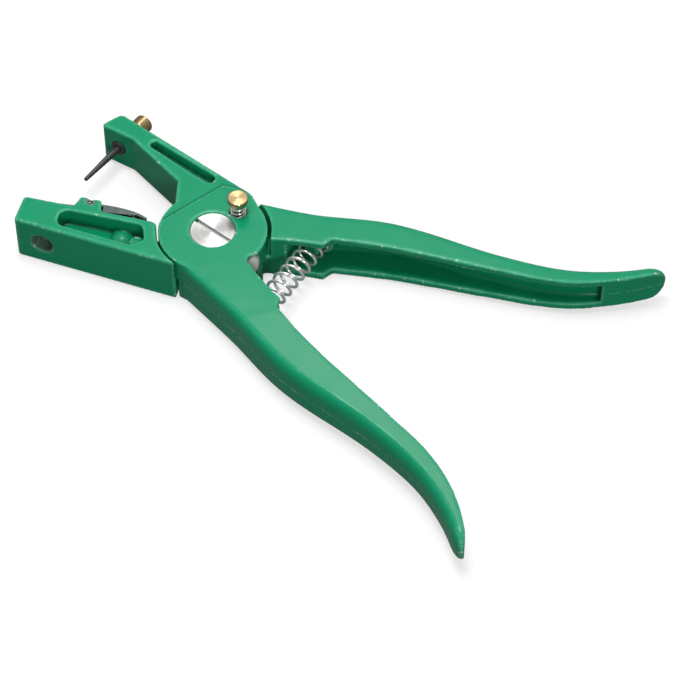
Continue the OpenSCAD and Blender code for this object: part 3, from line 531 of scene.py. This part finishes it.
# The floor of the slot shows the mill and not the lathe
head_top = max(corner.co.z for corner in pivot_head.data.vertices)
slot_least = 0.0005
upright = 0.9
for face in pivot_head.data.polygons:
    if face.normal.z > upright and face.center.z < head_top - slot_least:
        face.material_index = 1
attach(pivot_head, "tag_lever")
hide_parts("pivot_screw")

for fastener in ("pivot_washer", "pivot_nut"):
    ring = machined(fastener, fastener + "_turned", 0.0002, turned_steel)
    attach(ring, "tag_lever")
    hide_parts(fastener)


# Return spring: bright drawn wire wound on a mandrel, with its end turns laid flat. It sits over
# a peg in each handle's housing and pushes the handles apart.
def rule_tree(name, inputs):
    """An empty tree of geometry nodes with a finish and these inputs, given as (name, kind) pairs."""
    tree = bpy.data.node_groups.new(name, "GeometryNodeTree")
    for label, kind in (*inputs, ("Finish", "NodeSocketMaterial")):
        tree.interface.new_socket(label, in_out="INPUT", socket_type=kind)
    tree.interface.new_socket("Piece", in_out="OUTPUT", socket_type="NodeSocketGeometry")
    return tree, tree_node(tree, "NodeGroupInput").outputs


def end_rule(tree, shape, finish):
    """Ends a tree of geometry nodes: the shape is made real and gets its finish."""
    real = tree_node(tree, "GeometryNodeRealizeInstances", {"Geometry": shape}).outputs["Geometry"]
    ready = tree_node(tree, "GeometryNodeSetMaterial", {"Geometry": real, "Material": finish})
    tree_node(tree, "NodeGroupOutput", {"Piece": ready.outputs["Geometry"]})


def spring_tree():
    """Geometry nodes that wind a spring from z = 0 up to its length, with flat end turns."""
    tree, given = rule_tree("wound_spring", (
        ("Turns", "NodeSocketFloat"), ("Mean Radius", "NodeSocketFloat"), ("Length", "NodeSocketFloat"),
        ("Wire Radius", "NodeSocketFloat"), ("Flat Turns", "NodeSocketFloat"),
        ("Steps per Turn", "NodeSocketInt"), ("Wire Sides", "NodeSocketInt"),
    ))
    turns = given["Turns"]
    mean = given["Mean Radius"]
    wire = given["Wire Radius"]
    along = tree_node(tree, "GeometryNodeSplineParameter").outputs["Factor"]
    angle = reckon(tree, "MULTIPLY", reckon(tree, "MULTIPLY", along, turns), 2.0 * math.pi)
    flat = reckon(tree, "DIVIDE", given["Flat Turns"], turns)
    flat_again = reckon(tree, "SUBTRACT", 1.0, flat)
    top = reckon(tree, "SUBTRACT", given["Length"], wire)
    place = tree_node(tree, "ShaderNodeCombineXYZ", {
        "X": reckon(tree, "MULTIPLY", reckon(tree, "COSINE", angle), mean),
        "Y": reckon(tree, "MULTIPLY", reckon(tree, "SINE", angle), mean),
        "Z": ramp(tree, along, flat, flat_again, wire, top),
    }).outputs["Vector"]
    line = tree_node(tree, "GeometryNodeCurvePrimitiveLine").outputs["Curve"]
    count = reckon(tree, "MULTIPLY", turns, given["Steps per Turn"])
    steps = tree_node(tree, "GeometryNodeResampleCurve", {"Curve": line, "Count": count}, mode="COUNT")
    bent = tree_node(tree, "GeometryNodeSetPosition", {"Geometry": steps.outputs["Curve"], "Position": place})
    section = tree_node(
        tree, "GeometryNodeCurvePrimitiveCircle", {"Resolution": given["Wire Sides"], "Radius": wire})
    tube = tree_node(tree, "GeometryNodeCurveToMesh", {
        "Curve": bent.outputs["Geometry"], "Profile Curve": section.outputs["Curve"], "Fill Caps": True,
    })
    smooth = tree_node(tree, "GeometryNodeSetShadeSmooth", {"Geometry": tube.outputs["Mesh"]})
    end_rule(tree, smooth.outputs["Geometry"], given["Finish"])
    return tree


def grown(name, tree, sizes, place):
    """A piece from geometry nodes with these sizes, made a plain mesh and put in its place."""
    piece = new_piece(name, bpy.data.meshes.new(name))
    nodes = piece.modifiers.new("rule", "NODES")
    nodes.node_group = tree
    for socket in tree.interface.items_tree:
        if socket.in_out == "INPUT":
            nodes[socket.identifier] = sizes[socket.name]
    plain_mesh(piece).transform(place)
    return piece


wound = spring_tree()
spring_wire = smooth_steel(
    "spring_wire", dark=(0.88, 0.89, 0.90, 1.0), light=(0.98, 0.985, 0.99, 1.0), rough=0.14, metal=0.75)
along_y = Matrix(((1, 0, 0, 0), (0, 0, 1, 0), (0, -1, 0, 0), (0, 0, 0, 1)))
spring_at = 0.0333
spring_half = 0.0239
return_spring = grown("return_spring_wound", wound, {
    "Turns": 11.6, "Mean Radius": 0.0045, "Length": 2.0 * spring_half, "Wire Radius": 0.00062,
    "Flat Turns": 0.7, "Steps per Turn": 40, "Wire Sides": 14, "Finish": spring_wire,
}, Matrix.Translation((spring_at, -spring_half, body_middle)) @ along_y)
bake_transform(return_spring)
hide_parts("return_spring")


# Needle and collar: hardened steel, ground to a taper, cut off flat at the tip and blackened. The
# collar seats the needle in the pad of the pin jaw.
needle_lean = math.radians(-4.0)
needle_root = Vector((-0.0615, 0.0243, body_middle))

oxide_black = (0.012, 0.012, 0.014, 1.0)
oxide_grey = (0.050, 0.049, 0.050, 1.0)
oxide_worn = (0.45, 0.44, 0.43, 1.0)
black_oxide, oxide_tree, oxide_shader = new_finish("black_oxide")
oxide_at = tree_node(oxide_tree, "ShaderNodeTexCoord").outputs["Object"]
oxide_noise = noise(oxide_tree, oxide_at, scale=520.0, detail=4.0, roughness=0.65)
oxide_nicks = {"Position": oxide_at, "Grain": 900.0, "Nicks And Glints": 0.34}
oxide_wear = tree_node(oxide_tree, "ShaderNodeGroup", oxide_nicks, node_tree=edge_wear_and_glint)
oxide_bare = oxide_wear.outputs["Bare And Glint"]
oxide_tone = mixed(oxide_tree, oxide_noise, oxide_black, oxide_grey)
feed(oxide_tree, oxide_shader, {
    "Base Color": mixed(oxide_tree, oxide_bare, oxide_tone, oxide_worn),
    "Metallic": oxide_bare,
    "Roughness": ramp(oxide_tree, oxide_noise, to_low=0.28, to_high=0.5),
    "Specular IOR Level": 0.6,
    "Normal": bumped(oxide_tree, oxide_noise, strength=0.2, distance=0.00004),
})

for node, bevel in (("needle", 0.00012), ("needle_collar", 0.0002)):
    ground = machined(node, node + "_ground", bevel, black_oxide)
    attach(ground, "pin_lever")
    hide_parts(node)


# Thumb screw: turned brass that holds the needle from the back of the jaw. Straight ridges are
# knurled round its head, so that it can be turned by hand.
brass_dark = (0.34, 0.235, 0.10, 1.0)
brass_light = (0.57, 0.435, 0.235, 1.0)
screw_brass = turned_metal(
    "screw_brass", brass_dark, brass_light, centre=tuple(needle_root), turn=(math.radians(-90.0), 0.0, 0.0),
    rings=6000.0, depth=0.00002, smooth=0.20, rough=0.36, fan=0.3)
thumb_screw = machined("needle_screw", "thumb_screw", 0.00025, screw_brass)
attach(thumb_screw, "pin_lever")
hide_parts("needle_screw")


def knurl_tree():
    """Geometry nodes that set straight ridges round a head whose axis is Z, from z = 0 up."""
    tree, given = rule_tree("straight_knurl", (
        ("Ridges", "NodeSocketInt"), ("Radius", "NodeSocketFloat"), ("Ridge Size", "NodeSocketVector"),
    ))
    head = {"Vertices": given["Ridges"], "Radius": given["Radius"]}
    ring = tree_node(tree, "GeometryNodeMeshCircle", head, fill_type="NONE")
    ridge = tree_node(tree, "GeometryNodeMeshCube", {"Size": given["Ridge Size"]}).outputs["Mesh"]
    half_up = reckon_vector(tree, "MULTIPLY", given["Ridge Size"], (0.0, 0.0, 0.5))["Vector"]
    lifted = tree_node(tree, "GeometryNodeTransform", {"Geometry": ridge, "Translation": half_up})
    place = tree_node(tree, "GeometryNodeInputPosition").outputs["Position"]
    outward = tree_node(
        tree, "FunctionNodeAlignRotationToVector", {"Vector": place}, axis="X", pivot_axis="Z")
    set_round = tree_node(tree, "GeometryNodeInstanceOnPoints", {
        "Points": ring.outputs["Mesh"],
        "Instance": lifted.outputs["Geometry"],
        "Rotation": outward.outputs["Rotation"],
    })
    end_rule(tree, set_round.outputs["Instances"], given["Finish"])
    return tree


screw_axis = Matrix.Translation(needle_root) @ Matrix.Rotation(needle_lean, 4, "Z") @ Matrix.Rotation(
    math.radians(90.0), 4, "X")
knurl_from = -0.01702
thumb_knurl = grown("thumb_knurl", knurl_tree(), {
    "Ridges": 46, "Radius": 0.0036, "Ridge Size": (0.00036, 0.00024, 0.0042), "Finish": screw_brass,
}, screw_axis @ Matrix.Translation((0.0, 0.0, knurl_from)))
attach(thumb_knurl, "pin_lever")


# Lock: a turned brass button on a stem through the hub, held up by a small spring. Pressed down,
# its steel foot drops into a pocket of the lower hub and keeps the handles where they are.
lock_place = Vector((0.003290, 0.013196, 0.0))
lock_seat = 0.0171
lock_brass = turned_metal(
    "lock_brass", brass_dark, brass_light, centre=tuple(lock_place), turn=(0.0, 0.0, 0.0),
    rings=6500.0, depth=0.00002, smooth=0.20, rough=0.30, fan=0.85)
lock_head = machined("lock_button", "lock_button_turned", 0.00022, lock_brass)
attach(lock_head, "lock_button")
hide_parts("lock_button")

lock_foot = machined("lock_foot", "lock_foot_turned", 0.0002, turned_steel)
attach(lock_foot, "lock_button")
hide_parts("lock_foot")

lock_spring = grown("lock_spring_wound", wound, {
    "Turns": 4.9, "Mean Radius": 0.00275, "Length": 0.0081, "Wire Radius": 0.0004, "Flat Turns": 0.6,
    "Steps per Turn": 36, "Wire Sides": 12, "Finish": spring_wire,
}, Matrix.Translation(lock_place + Vector((0.0, 0.0, lock_seat))))
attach(lock_spring, "pin_lever")
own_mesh(lock_spring)
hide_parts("lock_spring")


# Tag clip: a dark polished strip of spring steel, forked at the tag hole and bowed at the tail. It tips
# on a pin between the lugs, and a small spring under the tail keeps the fork down on the tag.
# The green in the dark steel's colour is a painted reflection of the green jaw beside it
clip_steel = smooth_steel(
    "clip_steel", dark=(0.055, 0.075, 0.070, 1.0), light=(0.15, 0.185, 0.175, 1.0), rough=0.12)
tag_clip = machined("tag_clip", "tag_clip_bent", 0.00018, clip_steel)
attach(tag_clip, "tag_clip")
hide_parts("tag_clip")

clip_pin = machined("clip_pin", "clip_pin_turned", 0.0002, turned_steel)
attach(clip_pin, "tag_lever")
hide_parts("clip_pin")

face_turn = math.radians(16.8)
tag_face = Matrix.Translation((-0.0255, -0.0094, body_middle)) @ Matrix.Rotation(face_turn, 4, "Z")
clip_seat = Vector((-0.008, -0.0059, 0.0))
clip_coil_width = 0.0046
clip_spring_low, clip_spring_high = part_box("clip_spring")
clip_spring_reach = clip_spring_high.y - clip_spring_low.y
clip_spring_length = (clip_spring_reach - clip_coil_width * math.sin(face_turn)) / math.cos(face_turn)
clip_spring = grown("clip_spring_wound", wound, {
    "Turns": 6.4, "Mean Radius": 0.002, "Length": clip_spring_length, "Wire Radius": 0.0003,
    "Flat Turns": 0.6, "Steps per Turn": 30, "Wire Sides": 10, "Finish": spring_wire,
}, tag_face @ Matrix.Translation(clip_seat) @ along_y)
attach(clip_spring, "tag_lever")
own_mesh(clip_spring)
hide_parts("clip_spring")
